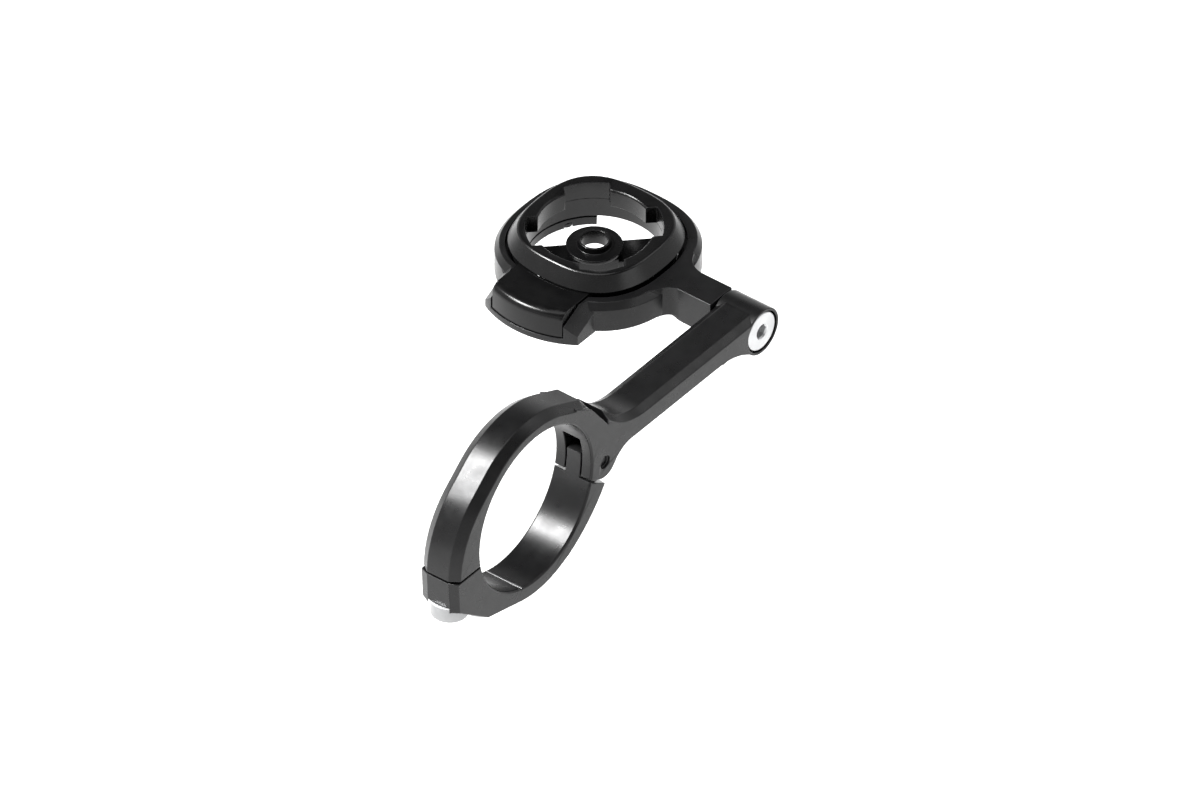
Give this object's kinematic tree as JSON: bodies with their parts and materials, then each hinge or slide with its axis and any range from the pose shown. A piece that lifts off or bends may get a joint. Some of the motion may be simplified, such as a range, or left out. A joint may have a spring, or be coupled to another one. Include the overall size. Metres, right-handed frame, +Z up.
{
  "type": "handlebar computer mount",
  "caption": "Out-front handlebar mount for a cycling computer: hinged bar clamp, slim arm and a tilting twist-lock socket with a release button.",
  "frame": {"origin": "centre of the clamp bore, on the handlebar's axis", "axes": "+X along the handlebar to the rider's right, +Y forward along the arm, +Z up out of the socket's face"},
  "size_m": [0.0526, 0.1032, 0.0386],
  "materials": {
    "anodised_metal": "satin black anodised",
    "moulded_insert": "fine satin black moulding",
    "gloss_button": "gloss black moulding",
    "bright_steel": "bright machined",
    "dark_steel": "blackened",
    "nylon": "matte"
  },
  "bodies": {
    "arm": {"arm_upper_clamp": "anodised_metal", "clamp_thread_insert": "bright_steel", "hinge_pin": "dark_steel", "pivot_bolt": "bright_steel", "pivot_friction_washer": "nylon"},
    "lower_jaw": {"lower_clamp_jaw": "anodised_metal"},
    "clamp_screw": {"clamp_bolt": "bright_steel", "clamp_bolt_washer": "bright_steel"},
    "head": {"head_housing": "anodised_metal", "pivot_thread_insert": "bright_steel", "socket_insert": "moulded_insert", "hub_bush": "moulded_insert", "insert_screw_1": "dark_steel", "insert_screw_2": "dark_steel", "insert_screw_3": "dark_steel", "insert_screw_4": "dark_steel", "latch_pin": "bright_steel", "button_spring_left": "bright_steel", "button_spring_right": "bright_steel"},
    "button": {"release_button": "gloss_button"},
    "latch": {"latch_lever": "dark_steel"}
  },
  "joints": [
    {"name": "clamp_hinge", "type": "hinge", "parent": "arm", "child": "lower_jaw", "pos_m": [0, 0.0196, -0.002], "axis": [1, 0, 0], "range_deg": [0, 70]},
    {"name": "clamp_bolt_draw", "type": "slide", "parent": "lower_jaw", "child": "clamp_screw", "axis": [0, 0, -1], "range_m": [0, 0.006]},
    {"name": "head_tilt", "type": "hinge", "parent": "arm", "child": "head", "pos_m": [0, 0.0644, -0.0012], "axis": [1, 0, 0], "range_deg": [-45, 60]},
    {"name": "button_press", "type": "slide", "parent": "head", "child": "button", "axis": [0, 1, 0], "range_m": [0, 0.001], "stiffness_N_per_m": 250, "springref_m": -0.0012, "deforming": ["button_spring_left", "button_spring_right"]},
    {"name": "latch_turn", "type": "hinge", "parent": "head", "child": "latch", "pos_m": [-0.028, 0.04525, 0.0012], "axis": [0, 0, 1], "range_deg": [0, 19.5]}
  ],
  "couplings": [
    {"joint": "clamp_bolt_draw", "follows": "clamp_hinge", "m_per_rad": 0.00491},
    {"joint": "latch_turn", "follows": "button_press", "rad_per_m": 340}
  ]
}
